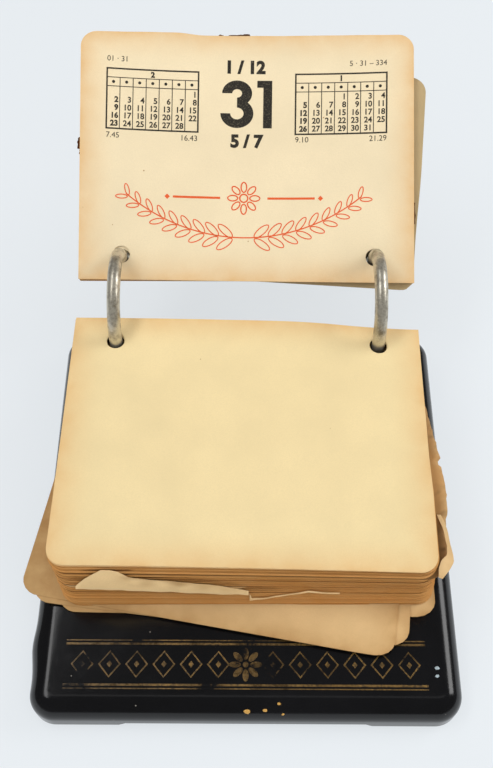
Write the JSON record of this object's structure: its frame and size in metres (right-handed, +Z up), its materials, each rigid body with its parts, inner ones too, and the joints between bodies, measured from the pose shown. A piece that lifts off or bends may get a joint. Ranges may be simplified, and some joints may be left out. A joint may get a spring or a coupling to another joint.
{
  "type": "desk calendar",
  "caption": "Turn-over desk calendar: loose dated leaves on a wire bow with arches and a back rest, on a sloped pressed steel base with integral feet.",
  "frame": {"origin": "middle of the base on the desk surface", "axes": "+X to the reader's right, +Y away from the reader, +Z up"},
  "size_m": [0.1252, 0.1951, 0.0845],
  "materials": {
    "black_lacquer": "gloss black stoving lacquer, worn",
    "plain_steel": "bare steel, dull",
    "nickelled_wire": "nickelled steel wire, dulled and spotted",
    "notes_paper": "uncoated paper, yellowed",
    "date_paper": "uncoated printed paper, yellowed",
    "block_paper": "browned edges of stacked paper",
    "loose_paper": "uncoated paper, browned",
    "khaki_card": "thin card, grey khaki"
  },
  "bodies": {
    "base": {"base_shell": "black_lacquer", "bridge_strip": "plain_steel", "socket_left": "plain_steel", "socket_right": "plain_steel", "bridge_rivets": "plain_steel", "loose_leaf_low": "loose_paper", "loose_leaf_mid": "loose_paper", "loose_leaf_high": "loose_paper", "dog_eared_leaf": "notes_paper", "torn_leaf": "loose_paper", "february_leaves": "block_paper", "march_leaves": "block_paper", "april_leaves": "block_paper", "may_leaves": "block_paper", "june_leaves": "block_paper", "july_leaves": "block_paper", "august_leaves": "block_paper", "september_leaves": "block_paper", "october_leaves": "block_paper", "november_leaves": "block_paper", "december_leaves": "block_paper"},
    "bow": {"wire_bow": "nickelled_wire", "january_leaves": "block_paper", "card_leaf": "khaki_card"},
    "notes_leaf": {"notes_leaf": "notes_paper"},
    "date_leaf": {"date_leaf": "date_paper"}
  },
  "joints": [
    {"name": "bow_lift", "type": "slide", "parent": "base", "child": "bow", "axis": [0, -0.0523, 0.9986], "range_m": [0, 0.036]},
    {"name": "notes_leaf_turn", "type": "hinge", "parent": "bow", "child": "notes_leaf", "pos_m": [0, 0.0562, 0.04043], "axis": [-1, 0, 0], "range_deg": [0, 151.3]},
    {"name": "date_leaf_turn", "type": "hinge", "parent": "bow", "child": "date_leaf", "pos_m": [0, 0.0562, 0.04043], "axis": [1, 0, 0], "range_deg": [0, 151.3]}
  ]
}
